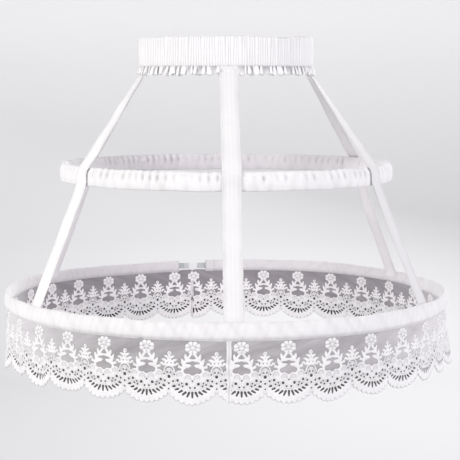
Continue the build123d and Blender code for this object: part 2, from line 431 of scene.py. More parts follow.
def bone_finish():
    """Flat polyester bone: pale milky grey plastic with fine lengthwise drawing lines."""
    finish = Finish("polyester bone")
    height = finish.place()[2]
    lines = (height * (2 * pi / (1.1 * MM))).wave()
    cloudy = finish.noise(60.0, 3.0)
    finish.set("Base Color", finish.mix(cloudy, (0.44, 0.455, 0.48), (0.60, 0.61, 0.63)))
    finish.set("Roughness", (0.30 + cloudy * 0.15).clipped())
    finish.set("Coat Weight", 0.2)
    finish.bump(lines, 0.1 * MM)
    return finish.material


def wrap_finish():
    """Thin off-white binding, with the ridges of its turns."""
    finish = Finish("binding tape")
    cloudy = finish.noise(120.0, 4.0)
    finish.set("Base Color", finish.mix(cloudy, (0.66, 0.65, 0.67), (0.80, 0.79, 0.80)))
    finish.set("Roughness", (0.45 + cloudy * 0.2).clipped())
    finish.bump(cloudy, 0.3 * MM)
    return finish.material


def elastic_finish():
    """Woven elastic: rubber cords that run round the waist under a close white weave."""
    finish = Finish("woven elastic")
    height = finish.place()[2]
    cords = (height * (2 * pi / (1.8 * MM))).wave()
    fuzz = finish.noise(500.0, 3.0)
    share = (cords * 0.5 + 0.5).clipped()
    finish.set("Base Color", finish.mix(share, (0.70, 0.70, 0.72), (0.86, 0.86, 0.87)))
    finish.set("Roughness", (0.7 + fuzz * 0.2).clipped())
    finish.bump(cords + fuzz * 0.4, 0.4 * MM)
    return finish.material


band_cloth = cloth_finish("gathered waistband cotton")
casing_cloth = cloth_finish("bias casing cloth", puff=0.9 * MM)
# painted light on the tapes: lit on the left, in shade on the right and at the back
tape_painted_light_tones = ((0.93, 0.92, 0.915), (0.69, 0.68, 0.69), SHADED_BACK_WHITE, SHADED_BACK_RIGHT_WHITE)
tape_cloth = cloth_finish("twill tape", weave="twill", puff=0.4 * MM, painted_light_tones=tape_painted_light_tones)
net_cloth = net_finish()
floss = floss_finish()
thread = cloth_finish("sewing thread", weave="twill", puff=0.2 * MM)
bone_plastic = bone_finish()
wrap_tape = wrap_finish()
elastic_cloth = elastic_finish()


def dress(piece, material, slot, *nodes):
    """Gives a piece its material and body, and hides the frame nodes that it stands for.  Its slot
    is not used.
    """
    piece.data.materials.clear()
    piece.data.materials.append(material)
    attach(piece, "root")
    if nodes:
        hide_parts(*nodes)
    return piece


# ------------------------------------------------------------------ waistband
class Oval:
    """An oval round the waist with its arc length worked out, so that steps round it are even."""

    def __init__(self, half_x, half_y):
        self.half_x, self.half_y = half_x, half_y
        turn = np.linspace(0, 2 * pi, 7201)
        step = np.hypot(np.diff(half_x * np.sin(turn)), np.diff(half_y * np.cos(turn)))
        self.turn = turn
        self.length = np.concatenate([[0], np.cumsum(step)])
        self.round = self.length[-1]

    def distance_at(self, angle):
        """How far round from the front the oval's point at this angle lies."""
        turn = atan2(sin(radians(angle)) / self.half_x, cos(radians(angle)) / self.half_y)
        return np.interp(turn % (2 * pi), self.turn, self.length)

    def at(self, distance, out, height):
        """The point this far round from the front, moved outwards by out."""
        turn = np.interp(np.mod(distance, self.round), self.length, self.turn)
        x, y = self.half_x * np.sin(turn), -self.half_y * np.cos(turn)
        normal = unit(np.stack([np.sin(turn) / self.half_x, -np.cos(turn) / self.half_y], -1))
        x, y, height = np.broadcast_arrays(x + normal[..., 0] * out, y + normal[..., 1] * out,
                                           height)
        return np.stack([x, y, height], -1)


waist = Oval(WAIST_X, WAIST_Y)
RIB_PITCH = 3.5 * MM
RIB_COUNT = int(round(waist.round / RIB_PITCH))
RIB_STEPS = 7
RIB_RISE = 1.0 * MM
BAND_LOOP = 24
DIP_PLACE = 77 * MM
DIP_DEPTH = 1.6 * MM
DIP_WIDE = 9 * MM
HUMP_PAST_DIP = 26 * MM
HUMP_HEIGHT = 0.7 * MM
HUMP_WIDE = 12 * MM
FRONT_TAPE_HALF = 0.5 * TAPE_WIDTH


def uneven_phase(distance, whole, count, jitter, seed):
    """A phase that grows by one for each rib or fold, faster here and slower there."""
    return distance / whole * count + jitter * whole_ripple(distance / whole, 5, 40, seed)


def waistband():
    """The gathered tube of cloth round the elastic.

    The cut across it is a flat upright loop with rounded ends; it is carried round the oval,
    and pushed out and in by the ribs, a rounded wave of distance, deepest halfway up.  The top
    edge is almost level, with one shallow dip at the front right.  Along its two edges the cut
    is thinner than the elastic, whose own edges come through it: by a millimetre in the dip.
    """
    columns = RIB_COUNT * RIB_STEPS
    distance = np.arange(columns) / columns * waist.round
    tall = BAND_TOP - BAND_BOTTOM
    loop = np.linspace(0, 1, BAND_LOOP + 1)[:-1]
    up = np.where(loop < 0.5, 1 - 4 * loop, 4 * loop - 3)
    level = np.sign(up) * np.abs(up) ** 0.8
    out = np.where(loop < 0.5, 1.0, -1.0) * (1 - np.abs(level) ** 8) ** 0.5
    middle = (BAND_TOP + BAND_BOTTOM) / 2
    phase = uneven_phase(distance, waist.round, RIB_COUNT, 0.16, 3)
    share = (level[:, None] + 1) / 2
    sway = 0.25 * whole_ripple(distance / waist.round, 20, 70, 4)
    rib = np.abs(np.sin(pi * (phase[None, :] + sway[None, :] * share)))
    strength = 0.75 + 0.25 * whole_ripple(distance / waist.round, 10, 60, 5)
    halfway = 1 - 0.35 * np.abs(level[:, None])
    rise = (rib ** 0.7 - 0.6) * RIB_RISE * strength[None, :] * halfway
    crown = whole_ripple(distance / waist.round, 3, 9, 6) * 0.25 * MM
    crown = crown + 0.4 * MM * np.abs(np.sin(pi * phase))
    crown = crown - DIP_DEPTH * np.exp(-((distance - DIP_PLACE) / DIP_WIDE) ** 2)
    past_dip = distance - DIP_PLACE - HUMP_PAST_DIP
    crown = crown + HUMP_HEIGHT * np.exp(-(past_dip / HUMP_WIDE) ** 2)
    bulge = 0.5 * BAND_DEPTH * out[:, None] + rise * np.sign(out[:, None] + 1e-9)
    height = middle + (tall / 2 - 0.4 * MM) * level[:, None] + crown[None, :] * share
    points = waist.at(distance[None, :], bulge - 0.5 * BAND_DEPTH, height)
    # painted shade: darker in the valleys between the ribs
    fold = np.clip(1 - rib, 0, 1) ** 1.5 * 0.55 + 0 * height
    across = np.append(distance, waist.round)
    along = np.linspace(0, 2 * tall, len(loop) + 1)
    piece = surface("waistband", points, along, across, True, True, painted_tone=fold)
    dress(piece, band_cloth, "waistband_cloth", "waistband_cover")


FRILL_FOLD = 8.6 * MM
FRILL_COUNT = int(round(waist.round / FRILL_FOLD))
FRILL_STEPS = 15
FRILL_ROWS = 9
FRILL_HALF_THICK = 0.32 * MM
FRILL_TURNED_IN = 1.2 * MM
FRILL_FLARE = 2.0 * MM
FRILL_SWING = 2.0 * MM
TAPE_RECESS = 2.6 * MM


def frill():
    """The ruffle at the band's lower edge: cloth that loops out and back as it hangs.

    Each fold is a wave outwards with a second wave along the edge at twice its phase, which
    turns its sides under.  Both grow downwards from a gathered seam and lean a little to one
    side.  Where the front and back tapes pass they die out, and the cloth lies on the tape.
    """
    columns = FRILL_COUNT * FRILL_STEPS
    distance = np.arange(columns) / columns * waist.round
    share = distance / waist.round
    fall = np.linspace(0, 1, FRILL_ROWS)[:, None]
    lean = 0.55 * whole_ripple(share, 20, 60, 14)
    phase = 2 * pi * uneven_phase(distance, waist.round, FRILL_COUNT, 0.28, 11)
    phase = phase[None, :] + lean[None, :] * fall
    from_front = np.minimum(distance, waist.round - distance)
    from_back = np.abs(distance - waist.distance_at(BACK_TAPE[0]))
    free = (np.minimum(from_front, from_back) - FRONT_TAPE_HALF + 1.5 * MM) / (3 * MM)
    free = np.clip(free, 0, 1)
    depth = (BAND_BOTTOM - FRILL_BOTTOM) * (0.98 + 0.12 * whole_ripple(share, 30, 90, 12))
    depth = depth * (0.6 + 0.4 * free)
    size = np.clip(0.95 + 0.3 * whole_ripple(share, 15, 60, 13), 0.4, 1.4) * free
    swell = 0.15 + 0.85 * np.sin(pi * np.clip(0.62 * fall, 0, 1)) ** 0.75
    tucked = (1 - free[None, :]) * TAPE_RECESS * fall
    out = (0.5 * MM + FRILL_FLARE * fall ** 0.8 * free[None, :] - tucked
           + FRILL_SWING * swell * size[None, :] * np.maximum(np.sin(phase), 0.75 * fall - 1))
    slip = -1.6 * MM * swell * size[None, :] * np.sin(2 * phase)
    height = BAND_BOTTOM + FRILL_TURNED_IN - (depth[None, :] + FRILL_TURNED_IN) * fall
    height = height + 0.7 * MM * fall ** 2 * size[None, :] * np.cos(2 * phase + 0.6)
    # painted shade: darker in the inward hollows of the folds, most under the band, less by the
    # tapes
    hollow = np.clip(0.5 - 0.5 * np.sin(phase), 0, 1) ** 1.3
    shade = hollow * (1.1 - 1.05 * fall) * (0.1 + 0.9 * free[None, :])
    sides = [waist.at(distance[None, :] + slip, out - BAND_DEPTH / 2 + side * FRILL_HALF_THICK,
                      height) for side in (1, -1)]
    points = np.concatenate([sides[0], sides[1][::-1]])
    shade = np.concatenate([shade, shade[::-1]])
    along = np.linspace(0, 20 * MM, len(points) + 1)
    piece = surface("waist_frill", points, along, np.append(distance, waist.round) * 2,
                    True, True, painted_tone=shade)
    dress(piece, band_cloth, "waistband_cloth")


# ------------------------------------------------------------------ hoop casings
# each side tape's angle at the waist and at the hoops
SIDE_TAPES = {"tape_front_right": (82.5, 56.0), "tape_front_left": (-82.5, -56.0),
              "tape_back_right": (97.5, 121.6), "tape_back_left": (-97.5, -121.6)}
BACK_TAPE = (175.6, 176.0)
TAPE_ANGLES = [0.0, BACK_TAPE[1]] + [hoop_angle for _, hoop_angle in SIDE_TAPES.values()]
BACK_SHARE = 0.75
BONE_OUT = 1.5 * MM
BONE_UP = 4.9 * MM
CASING_LOOP = 32
CASING_GIRTH = 58 * MM
UPPER_ROWS = 1200
LOWER_ROWS = 1450
CUFF_ROWS = 70


def apart(angle, place):
    """How many degrees lie between two angles, the short way round."""
    return np.abs(np.mod(angle - place + 180, 360) - 180)


def under_tape(angle, radius):
    """1 where a tape lies on the hoop and 0 beside it, with a soft step between."""
    nearest = np.minimum.reduce([apart(angle, place) for place in TAPE_ANGLES])
    past = np.radians(nearest) * radius - TAPE_WIDTH / 2 - 1.2 * MM
    return 1 / (1 + np.exp(np.clip(past / (0.6 * MM), -30, 30)))


def behind(angle):
    """0 over the front half of the hoop, rising smoothly to 1 from 60 degrees past the side."""
    share = np.clip(-2 * np.cos(np.radians(angle)), 0, 1)
    return share ** 2 * (3 - 2 * share)


def drift(angle):
    """A slight wave up and down in the back of the lower hoop, where nothing holds it level."""
    return -1.8 * MM * np.sin(np.radians(3 * (angle - 174))) * behind(angle)


def hem_lift(angle):
    """How far the casing's lower edge, and the lace sewn to it, lie above their front height."""
    return (1 - BACK_SHARE) * 0.65 * LOWER_TALL * behind(angle) + drift(angle)


def upper_fall(angle):
    """The upper hoop is equally tall all round, and level."""
    return 1.0 + 0 * angle, 0 * angle


def lower_fall(angle):
    """The lower casing is drawn narrower at the back: its share of its height, and its lift."""
    share = 1 - (1 - BACK_SHARE) * behind(angle)
    return share, hem_lift(angle) - (1 - share) / 2 * LOWER_TALL


def casing_point(hoop, angle, turn):
    """Points of a casing, and the painted shade that they carry deep in a fold.

    The hoop's section gives how far out and up each point of the cut lies.  Its puckers move
    it out and up, with a guard that keeps it clear of the bone but not of the bone's binding,
    and its fall narrows and lifts the cut.
    """
    radius, height, section, puckers, fall = hoop
    out, up = section(turn)
    push, lift, fold = puckers(angle, turn)
    share, shift = fall(angle)
    level = up * share + shift + lift
    guard = BONE_OUT * np.clip((BONE_UP + 0.9 * MM - np.abs(level)) / (0.6 * MM), 0, 1)
    outer = np.cos(turn) >= 0
    reach = out + push
    reach = np.where(outer, np.maximum(reach, guard), np.minimum(reach, -guard))
    fold = np.clip(fold + 0 * reach, 0, 0.9)
    return round_hoop(radius + reach, angle, height + level), fold


def casing(name, hoop, angles, closed, *nodes):
    """A sewn tube of cloth: its cut's columns carried in rows round the hoop."""
    turn = np.linspace(0, 2 * pi, CASING_LOOP + 1)[:-1]
    points, fold = casing_point(hoop, angles[:, None], turn[None, :])
    length = np.radians(angles - angles[0]) * hoop[0]
    if closed:
        length = np.append(length, 2 * pi * hoop[0])
    around = np.linspace(0, CASING_GIRTH, len(turn) + 1)
    piece = surface(name, points, length, around, closed, True, flip=True, painted_tone=fold,
                    cap=not closed)
    dress(piece, casing_cloth, "casing_cloth", *nodes)


def upper_section(turn):
    """The puffed casing: a full round below a thin sewn edge along its top."""
    up = np.sin(turn)
    level = UPPER_TALL / 2 * np.sign(up) * np.abs(up) ** 0.9
    flat_edge = 1 / (1 + np.exp(-(up - 0.70) * 22))
    full = np.sqrt(np.clip(1 - ((up + 0.16) / 1.12) ** 2, 0.02, 1))
    deep = UPPER_DEEP / 2 * (full * (1 - 0.70 * flat_edge) + 0.05)
    return deep * np.cos(turn) / np.maximum(np.sqrt(1 - up ** 2), 0.35), level


def upper_puckers(angle, turn):
    """Gathers pulled in by the top stitching: dimples under it, and folds that spread below.

    A dimple lies where the uneven wave round the hoop is lowest, just under the stitching, and
    from it a fold runs down the casing, slanting and fading.  Where a tape is sewn on, the
    cloth lies flat against it.
    """
    round_share = angle / 360
    up = np.sin(turn)
    stitched = np.exp(-((up - 0.60) / 0.10) ** 2)
    under = np.exp(-((up - 0.28) / 0.26) ** 2)
    below = np.clip(0.75 - up, 0, 1.75) / 1.75
    small = whole_ripple(round_share, 90, 150, 21, 9)
    slanted = whole_ripple(round_share + 0.0008 * up, 90, 150, 21, 9)
    tall = whole_ripple(round_share - 0.0007 * up, 45, 95, 22, 9)
    broad = whole_ripple(round_share, 9, 26, 23)
    dimple = np.clip(0.45 * tall - small - 0.35, 0, 1.4) * under
    push = (-0.85 * MM * stitched - 1.35 * MM * dimple + 0.35 * MM * small * stitched
            + 0.5 * MM * slanted * np.clip(1 - stitched, 0, 1) * np.exp(-below * 2.2)
            + 0.45 * MM * tall * below + 0.3 * MM * broad)
    free = 1 - under_tape(angle, UPPER_RADIUS)
    push = push * free + 0.15 * MM * (1 - free)
    push = push * np.sign(np.cos(turn) + 1e-9) * np.minimum(1, np.abs(np.cos(turn)) * 2)
    sewn = (1 - free) * np.clip(np.cos(turn) * 4, 0, 1)
    sewn = sewn * np.clip((0.58 - up) / 0.12, 0, 1) * np.clip((up + 0.86) / 0.12, 0, 1)
    push = push + sewn * (UPPER_DEEP / 2 - upper_section(turn)[0])
    lift = 0.35 * MM * small * np.clip(up, 0, 1) * free + 0.4 * MM * broad
    # painted shade: darker in the dimples, under the stitching and in the folds that run down
    fold = (0.3 * dimple + 0.22 * stitched * np.clip(0.6 - small, 0, 1)
            + 0.16 * np.clip(-tall, 0, 1) * below + 0.14 * np.clip(-slanted, 0, 1) * under)
    return push, lift, fold * free


def lower_section(turn):
    """The flatter casing: an oval that narrows to the seam holding the lace."""
    up = np.sin(turn)
    level = LOWER_TALL / 2 * np.sign(up) * np.abs(up) ** 0.92
    narrow = 1 - 0.55 / (1 + np.exp((up + 0.72) * 16))
    return LOWER_DEEP / 2 * np.cos(turn) * narrow, level


def lower_puckers(angle, turn):
    """Slight slanting drag lines in smooth cloth, and the lace's loops showing over each flower.

    The loops are raised rings of a thread's width on the outer face, one above each flower.
    """
    round_share = angle / 360
    up = np.sin(turn)
    outer = np.clip(np.cos(turn) * 3, 0, 1)
    seam = np.exp(-((up + 0.84) / 0.10) ** 2)
    slant = whole_ripple(round_share + 0.0045 * up, 40, 110, 31, 9)
    fine = whole_ripple(round_share - 0.002 * up, 120, 220, 32, 8)
    broad = whole_ripple(round_share, 7, 22, 33)
    along = fold_repeat(run_round(angle))
    above = LOWER_TALL / MM / 2 * (np.sign(up) * np.abs(up) ** 0.92 + 1)
    loop = ridge(np.hypot(along / 1.15, above - 4.6) - 2.6, 0.85)
    loop = np.maximum(loop, ridge(np.hypot(along - 3.4, (above - 9.0) / 1.2) - 1.5, 0.8))
    loop = loop * outer * (apart(angle, 0) < 150)
    free = 1 - 0.8 * under_tape(angle, LOWER_RADIUS)
    push = 0.20 * MM * slant * (1 - seam) + 0.10 * MM * fine - 0.45 * MM * seam
    push = (push * free + 0.35 * MM * broad) * np.sign(np.cos(turn) + 1e-9)
    push = push * np.minimum(1, np.abs(np.cos(turn)) * 2) + 0.42 * MM * loop
    lift = 0.4 * MM * broad * (0.6 + 0.4 * up)
    # painted shade: darker along the seam and in the drag lines
    fold = 0.45 * seam + 0.10 * np.clip(-slant, 0, 1) + 0.08 * np.clip(-fine, 0, 1)
    return push, lift, fold


def cuff_section(turn):
    """The lower casing's cut, a cloth's thickness proud, for its turned-back ends."""
    out, up = lower_section(turn)
    return out + 0.55 * MM * np.cos(turn), up * 1.045


def cuff_puckers(angle, turn):
    """Close upright pleats across a turned-back end, deepest at its edges."""
    edge = np.minimum(apart(angle, CUFF_EDGES[0]), apart(angle, CUFF_EDGES[1]))
    edge = np.minimum(edge, np.minimum(apart(angle, CUFF_EDGES[2]), apart(angle, CUFF_EDGES[3])))
    near_edge = np.exp(-(np.radians(edge) * LOWER_RADIUS / (1.6 * MM)) ** 2)
    pleat = np.sin(np.radians(angle) * LOWER_RADIUS / (3.1 * MM) * 2 * pi + 1.3 * np.sin(turn))
    push = (0.16 * MM * pleat - 0.35 * MM * near_edge) * np.sign(np.cos(turn) + 1e-9)
    # painted shade: darker between the pleats and at the turned edges
    fold = 0.22 * np.clip(-pleat, 0, 1) + 0.45 * near_edge
    return push, 0 * push, fold


# each hoop: the radius and height of its middle, its cut, its puckers and its fall
UPPER_HOOP = (UPPER_RADIUS - UPPER_DEEP / 2, UPPER_HEIGHT, upper_section, upper_puckers,
              upper_fall)
LOWER_HOOP = (LOWER_MIDDLE, LOWER_HEIGHT, lower_section, lower_puckers, lower_fall)
CUFF_HOOP = (LOWER_MIDDLE, LOWER_HEIGHT, cuff_section, cuff_puckers, lower_fall)
CUFF_SWEEP = degrees(15 * MM / LOWER_MIDDLE)
GAP_FIRST = GAP_ANGLE - GAP_SWEEP / 2
GAP_LAST = GAP_ANGLE + GAP_SWEEP / 2
CUFF_EDGES = (GAP_FIRST - CUFF_SWEEP, GAP_FIRST, GAP_LAST, GAP_LAST + CUFF_SWEEP)


def casings():
    """Both casings; the lower one is open for a short way near the back, its ends turned back."""
    upper_angles = np.arange(UPPER_ROWS) / UPPER_ROWS * 360
    casing("upper_casing", UPPER_HOOP, upper_angles, True, "upper_hoop_casing")
    lower_angles = np.linspace(GAP_LAST, GAP_FIRST + 360, LOWER_ROWS)
    casing("lower_casing", LOWER_HOOP, lower_angles, False, "lower_hoop_casing")
    casing("casing_end_right", CUFF_HOOP, np.linspace(*CUFF_EDGES[:2], CUFF_ROWS), False)
    casing("casing_end_left", CUFF_HOOP, np.linspace(*CUFF_EDGES[2:], CUFF_ROWS), False)


# ------------------------------------------------------------------ tapes
TAPE_CORNER = 7 * MM
TAPE_STEP = 3 * MM
TAPE_LOOP = 44


def waist_point(angle, height, inset):
    """A point inside the waistband at this angle."""
    half_x, half_y = WAIST_X - inset, WAIST_Y - inset
    turn = atan2(half_y * sin(radians(angle)), half_x * cos(radians(angle)))
    return np.array([half_x * sin(turn), -half_y * cos(turn), height])


def tape_stations(waist_angle, hoop_angle):
    """Points down the middle of a tape and its level width direction at each."""
    inset = BAND_DEPTH + 0.75 * MM + CLOTH_GAP + TAPE_THICK / 2
    start = waist_point(waist_angle, BAND_BOTTOM + 13 * MM, inset)
    edge = waist_point(waist_angle, BAND_BOTTOM - 3.5 * MM, inset)
    side_low = waist_point(waist_angle - 0.5, 0, inset)
    side_high = waist_point(waist_angle + 0.5, 0, inset)
    waist_side = unit(side_high - side_low)
    hoop_side = round_hoop(1.0, hoop_angle + 90, 0.0)
    lift = CLOTH_GAP + TAPE_THICK / 2
    places = [
        (UPPER_RADIUS - 2.6 * MM, UPPER_HEIGHT + 0.5 * UPPER_TALL - 0.1 * MM),
        (UPPER_RADIUS + lift, UPPER_HEIGHT + 0.24 * UPPER_TALL),
        (UPPER_RADIUS + lift, UPPER_HEIGHT - 0.34 * UPPER_TALL),
        (LOWER_RADIUS - LOWER_DEEP - lift, LOWER_HEIGHT + 0.42 * LOWER_TALL),
        (LOWER_RADIUS - LOWER_DEEP - lift,
         LOWER_HEIGHT - 0.3 * LOWER_TALL + 1.5 * float(hem_lift(hoop_angle))),
    ]
    points = [start, edge] + [round_hoop(radius, hoop_angle, height) for radius, height in places]
    sides = [waist_side] * 2 + [hoop_side] * len(places)
    return np.array(points), np.array(sides)


def rounded_route(points, sides, corner, step):
    """Straight runs whose corners are rounded off, sampled evenly, with width directions."""
    dense_points, dense_sides = [], []
    for a, b, side_a, side_b in zip(points[:-1], points[1:], sides[:-1], sides[1:]):
        count = max(2, int(np.linalg.norm(b - a) / (step / 4)))
        share = np.arange(count)[:, None] / count
        dense_points.append(a + (b - a) * share)
        dense_sides.append(side_a + (side_b - side_a) * share)
    line = np.concatenate(dense_points + [points[-1:]])
    side = np.concatenate(dense_sides + [sides[-1:]])
    reach = max(1, int(corner / (step / 4)))
    kernel = np.hanning(2 * reach + 3)[1:-1]
    kernel = kernel / kernel.sum()
    padded = np.concatenate([2 * line[:1] - line[reach:0:-1], line,
                             2 * line[-1:] - line[-2:-reach - 2:-1]])
    line = np.stack([np.convolve(padded[:, k], kernel, "valid") for k in range(3)], -1)
    keep = np.unique(np.append(np.arange(0, len(line), 4), len(line) - 1))
    return line[keep], unit(side[keep])


def strip_section(width, thick, count):
    """The cut across a tape: flat, with rounded selvedges that stand slightly proud."""
    turn = np.linspace(0, 2 * pi, count + 1)[:-1]
    across = np.sign(np.cos(turn)) * np.abs(np.cos(turn)) ** 0.7 * width / 2
    edge = np.abs(across) / (width / 2)
    rib = (1 + 0.5 * np.exp(-((edge - 0.93) / 0.05) ** 2)
           - 0.45 * np.exp(-((edge - 0.80) / 0.035) ** 2))
    deep = np.sign(np.sin(turn)) * np.minimum(1, np.abs(np.sin(turn)) * 3) * thick / 2 * rib
    return across, deep


def tape(name, waist_angle, hoop_angle, seed):
    """One woven tape: the section carried down its route, with slight bows and waves."""
    points, sides = tape_stations(waist_angle, hoop_angle)
    line, side = rounded_route(points, sides, TAPE_CORNER, TAPE_STEP)
    ahead = np.gradient(line, axis=0)
    length = np.concatenate([[0], np.cumsum(np.linalg.norm(np.diff(line, axis=0), axis=1))])
    side = unit(side - unit(ahead) * np.sum(side * unit(ahead), -1, keepdims=True))
    face = unit(np.cross(unit(ahead), side))
    across, deep = strip_section(TAPE_WIDTH, TAPE_THICK, TAPE_LOOP)
    free = np.sin(pi * np.clip((length - length[0]) / np.ptp(length), 0, 1))
    sway = ripple(length, 60 * MM, 170 * MM, seed) * 0.45 * MM * free
    curl = ripple(length, 45 * MM, 120 * MM, seed + 50) * 0.35 * MM * free
    bow = curl[:, None] * (1 - (across[None, :] / (TAPE_WIDTH / 2)) ** 2)
    frayed = 1 + 0.008 * ripple(length, 8 * MM, 40 * MM, seed + 9)[:, None]
    points = (line[:, None, :] + side[:, None, :] * (across[None, :] * frayed)[..., None]
              + face[:, None, :] * (deep[None, :] + bow + sway[:, None])[..., None])
    around = np.linspace(0, 2 * TAPE_WIDTH, len(across) + 1)
    # painted shade: darker along the groove by each selvedge and between the woven ribs, a little
    # unevenly down the tape
    edge = np.abs(across) / (TAPE_WIDTH / 2)
    ribs = 0.5 - 0.5 * np.cos(across / MM * 2 * pi / 4.8)
    fold = (np.exp(-((edge - 0.80) / 0.05) ** 2) * 0.42 + 0.14 * ribs)[None, :]
    fold = fold * (1 + 0.25 * ripple(length, 30 * MM, 90 * MM, seed + 20)[:, None])
    fold = np.clip(fold, 0, 0.8)
    piece = surface(name + "_cloth", points, length, around, False, True, painted_tone=fold, cap=True)
    dress(piece, tape_cloth, "tape_cloth", name)
    return line, side, face, length


# ------------------------------------------------------------------ stitches
def stitches(name, centres, ahead, face, length, radius):
    """Short rounded threads: each is a four-sided bar, thin at its ends, laid along ahead."""
    along = np.array([-0.5, 0.0, 0.5]) * length
    thin = np.array([0.4, 1.0, 0.4]) * radius
    sides = 4
    turn = np.arange(sides) / sides * 2 * pi
    side = unit(np.cross(ahead, face))
    ring = (side[:, None, None, :] * np.cos(turn)[None, None, :, None]
            + face[:, None, None, :] * np.sin(turn)[None, None, :, None])
    bar = (centres[:, None, None, :] + ahead[:, None, None, :] * along[None, :, None, None]
           + ring * thin[None, :, None, None])
    index, corner_r, corner_c = grid_faces(len(along), len(turn), False, True)
    size = len(along) * len(turn)
    shift = np.arange(len(centres))[:, None, None] * size
    faces = (index[None, :, ::-1] + shift).reshape(-1, 4)
    first = (np.arange(sides)[None, None, :] + shift).reshape(-1, sides)
    last = (np.arange(sides)[None, None, ::-1] + size - sides + shift).reshape(-1, sides)
    uv = np.stack([along[corner_r], corner_c * radius], -1)
    uv = np.tile(uv[:, ::-1], (len(centres), 1, 1))
    ends = np.zeros((len(centres), sides, 2))
    return new_piece(name, bar.reshape(-1, 3), [faces, first, last], [uv, ends, ends],
                     np.zeros(bar.size // 3))


STITCH = 2.4 * MM
STITCH_STEP = 3.2 * MM
STITCH_THICK = 0.22 * MM


def tape_stitching(name, route):
    """Two rows of stitches down a tape, and short rows across it where it is sewn to the hoops."""
    line, side, face, length = route

    def at_route(values, at):
        """The route's values at these distances down the tape."""
        return np.stack([np.interp(at, length, values[:, k]) for k in range(3)], -1)

    at = np.arange(4 * MM, length[-1] - 4 * MM, STITCH_STEP)
    middle, sides, faces = at_route(line, at), at_route(side, at), at_route(face, at)
    ahead = unit(np.gradient(middle, axis=0))
    proud = faces * (-0.46 * TAPE_THICK)
    centres = [middle + sides * edge * TAPE_WIDTH / 2 + proud for edge in (-0.8, 0.8)]
    aheads, outs = [ahead, ahead], [faces, faces]
    across = (np.arange(7) - 3) * STITCH_STEP
    for height in (UPPER_HEIGHT + 0.30 * UPPER_TALL, UPPER_HEIGHT - 0.33 * UPPER_TALL):
        place = np.interp(-height, -line[:, 2], length)
        place = np.full(len(across), place)
        middle, sides, faces = at_route(line, place), at_route(side, place), at_route(face, place)
        centres.append(middle + sides * across[:, None] - faces * 0.5 * TAPE_THICK)
        aheads.append(sides)
        outs.append(faces)
    piece = stitches(name, np.concatenate(centres), np.concatenate(aheads), np.concatenate(outs),
                     STITCH, STITCH_THICK)
    dress(piece, thread, "tape_cloth")


def hoop_stitching(name, hoop, up, first, last):
    """Rows of stitches on a casing's outer and inner face, at a height given from -1 to 1.

    They lie on the casing's own surface, dips and all, and the tapes cover none of them.
    """
    count = int(radians(last - first) * hoop[0] / STITCH_STEP)
    angle = first + (np.arange(count) + 0.5) / count * (last - first)
    angle = angle[under_tape(angle, hoop[0]) < 0.5]
    centres, aheads, faces = [], [], []
    step = 0.05
    for turn, side in ((asin(up), 1.0), (pi - asin(up), -1.0)):
        middle = casing_point(hoop, angle, turn + 0 * angle)[0]
        after = casing_point(hoop, angle + step, turn + 0 * angle)[0]
        face = side * round_hoop(1.0, angle, 0.0)
        centres.append(middle + face * 0.05 * MM)
        aheads.append(unit(after - middle))
        faces.append(face)
    piece = stitches(name, np.concatenate(centres), np.concatenate(aheads),
                     np.concatenate(faces), STITCH, STITCH_THICK)
    dress(piece, thread, "casing_cloth")


# ------------------------------------------------------------------ lace pattern, in millimetres
# x runs along the hem from a flower, folded back at each half repeat; y is 0 at the casing
# and falls to the hem.  Each shape gives the distance to its edge, below 0 inside.
HALF = LACE_REPEAT / MM / 2
DROP = (LACE_TOP - LACE_BOTTOM) / MM
DEPTH = SCALLOP_DEPTH / MM
HEM_ARC = (HALF ** 2 + DEPTH ** 2) / (2 * DEPTH)
HEM_CENTRE = HEM_ARC - DROP
HEM_LOBE = 2 * degrees(asin(HALF / HEM_ARC)) / 9
LOBE_DEPTH = 2.0
PETAL_COUNT = 8
FLOWER = -7.6
FAN_CENTRE = -30.6
FAN_ARC = 32.0
SLOT_STEP = 9.0

# each ring of the border: place along the hem, height and radius
RINGS = [(5.6, -43.2, 5.3), (15.8, -39.9, 5.3), (HALF, -36.2, 7.3)]
# each small round opening of the border: place along the hem, height and radius
EYELETS = [(7.0, -50.0, 1.8), (18.0, -46.2, 1.65), (HALF, -42.2, 2.0), (HALF - 1.9, -37.2, 1.15),
           (2.8, -54.2, 1.25), (11.8, -52.8, 1.15), (12.9, -49.3, 1.05), (16.2, -51.3, 1.15),
           (23.5, -47.4, 1.3), (21.9, -52.6, 1.35), (0.0, -46.4, 1.1), (22.2, -39.4, 1.1),
           (HALF, -50.0, 1.3), (HALF, -56.6, 1.05)]
MOTIF_EYELETS = [(4.1, FLOWER + 0.6, 0.75), (2.2, FLOWER - 3.0, 0.65), (HALF - 3.4, -21.9, 1.0),
                 (HALF - 6.9, -26.4, 1.05), (HALF - 2.3, -26.2, 0.9), (HALF, -20.6, 0.6)]


def disc(x, y, at_x, at_y, wide, tall=None):
    """An oval patch."""
    tall = tall or wide
    return (np.hypot((x - at_x) / wide, (y - at_y) / tall) - 1) * min(wide, tall)


def stroke(x, y, start, end, wide, wide_end=None):
    """A straight line of thread with round ends."""
    wide_end = wide if wide_end is None else wide_end
    run_x, run_y = end[0] - start[0], end[1] - start[1]
    share = np.clip(((x - start[0]) * run_x + (y - start[1]) * run_y)
                    / (run_x ** 2 + run_y ** 2), 0, 1)
    gap = np.hypot(x - start[0] - run_x * share, y - start[1] - run_y * share)
    return gap - (wide + (wide_end - wide) * share)


